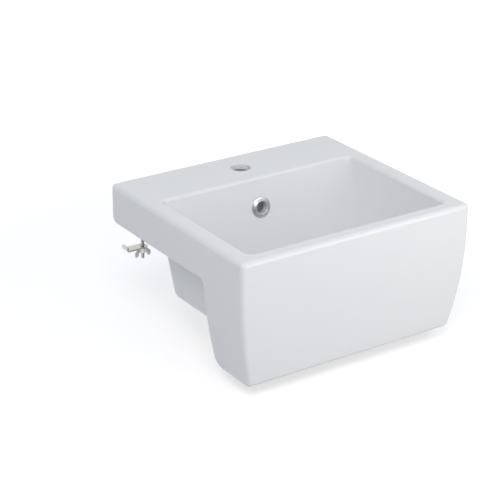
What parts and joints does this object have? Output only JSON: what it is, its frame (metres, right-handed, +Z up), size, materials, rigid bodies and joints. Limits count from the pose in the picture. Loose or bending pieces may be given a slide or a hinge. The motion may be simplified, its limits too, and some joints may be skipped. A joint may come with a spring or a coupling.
{
  "type": "semi-recessed washbasin",
  "caption": "Rectangular white china semi-recessed basin with a tap hole, overflow, click waste and worktop clamps; its rim rests on a worktop and its apron hangs in front.",
  "frame": {"origin": "on the mid-plane, on the seat that rests on the worktop, mid-way across the flat of the rear land", "axes": "+Z up, +Y towards the wall behind, -Y towards the user, +X to the user's right"},
  "size_m": [0.45, 0.4, 0.2439],
  "materials": {
    "glazed_china": "gloss",
    "chromed_ring": "polished",
    "chromed_waste": "polished",
    "chromed_cap": "polished",
    "seal_rubber": "matte",
    "slip_plastic": "satin",
    "nut_brass": "satin",
    "post_brass": "satin",
    "guide_plastic": "satin",
    "spring_steel": "satin",
    "anchor_nylon": "satin",
    "zinc_steel": "satin"
  },
  "bodies": {
    "basin": {"basin_body": "glazed_china", "overflow_ring": "chromed_ring", "waste_body": "chromed_waste", "flange_gasket": "seal_rubber", "cone_seal": "seal_rubber", "slip_ring": "slip_plastic", "back_nut": "nut_brass", "guide_post": "post_brass", "clamp_anchor_left": "anchor_nylon", "clamp_anchor_right": "anchor_nylon", "clamp_stud_left": "zinc_steel", "clamp_stud_right": "zinc_steel", "return_spring": "spring_steel"},
    "plug": {"plug_cap": "chromed_cap", "plug_seal": "seal_rubber", "guide_sleeve": "guide_plastic", "latch_pin": "spring_steel"},
    "nut_left": {"wing_nut_left": "zinc_steel"},
    "nut_right": {"wing_nut_right": "zinc_steel"},
    "bar_left": {"clamp_bar_left": "zinc_steel"},
    "bar_right": {"clamp_bar_right": "zinc_steel"}
  },
  "joints": [
    {"name": "plug_lift", "type": "slide", "parent": "basin", "child": "plug", "axis": [0, 0, 1], "range_m": [0, 0.009], "deforming": ["return_spring"]},
    {"name": "clamp_left_travel", "type": "slide", "parent": "basin", "child": "nut_left", "axis": [0, 0, 1], "range_m": [-0.01, 0.01]},
    {"name": "clamp_right_travel", "type": "slide", "parent": "basin", "child": "nut_right", "axis": [0, 0, 1], "range_m": [-0.01, 0.01]},
    {"name": "clamp_left_swing", "type": "hinge", "parent": "nut_left", "child": "bar_left", "pos_m": [-0.188, -0.019, -0.039], "axis": [0, 0, 1], "range_deg": [0, 90]},
    {"name": "clamp_right_swing", "type": "hinge", "parent": "nut_right", "child": "bar_right", "pos_m": [0.188, -0.019, -0.039], "axis": [0, 0, -1], "range_deg": [0, 90]}
  ]
}
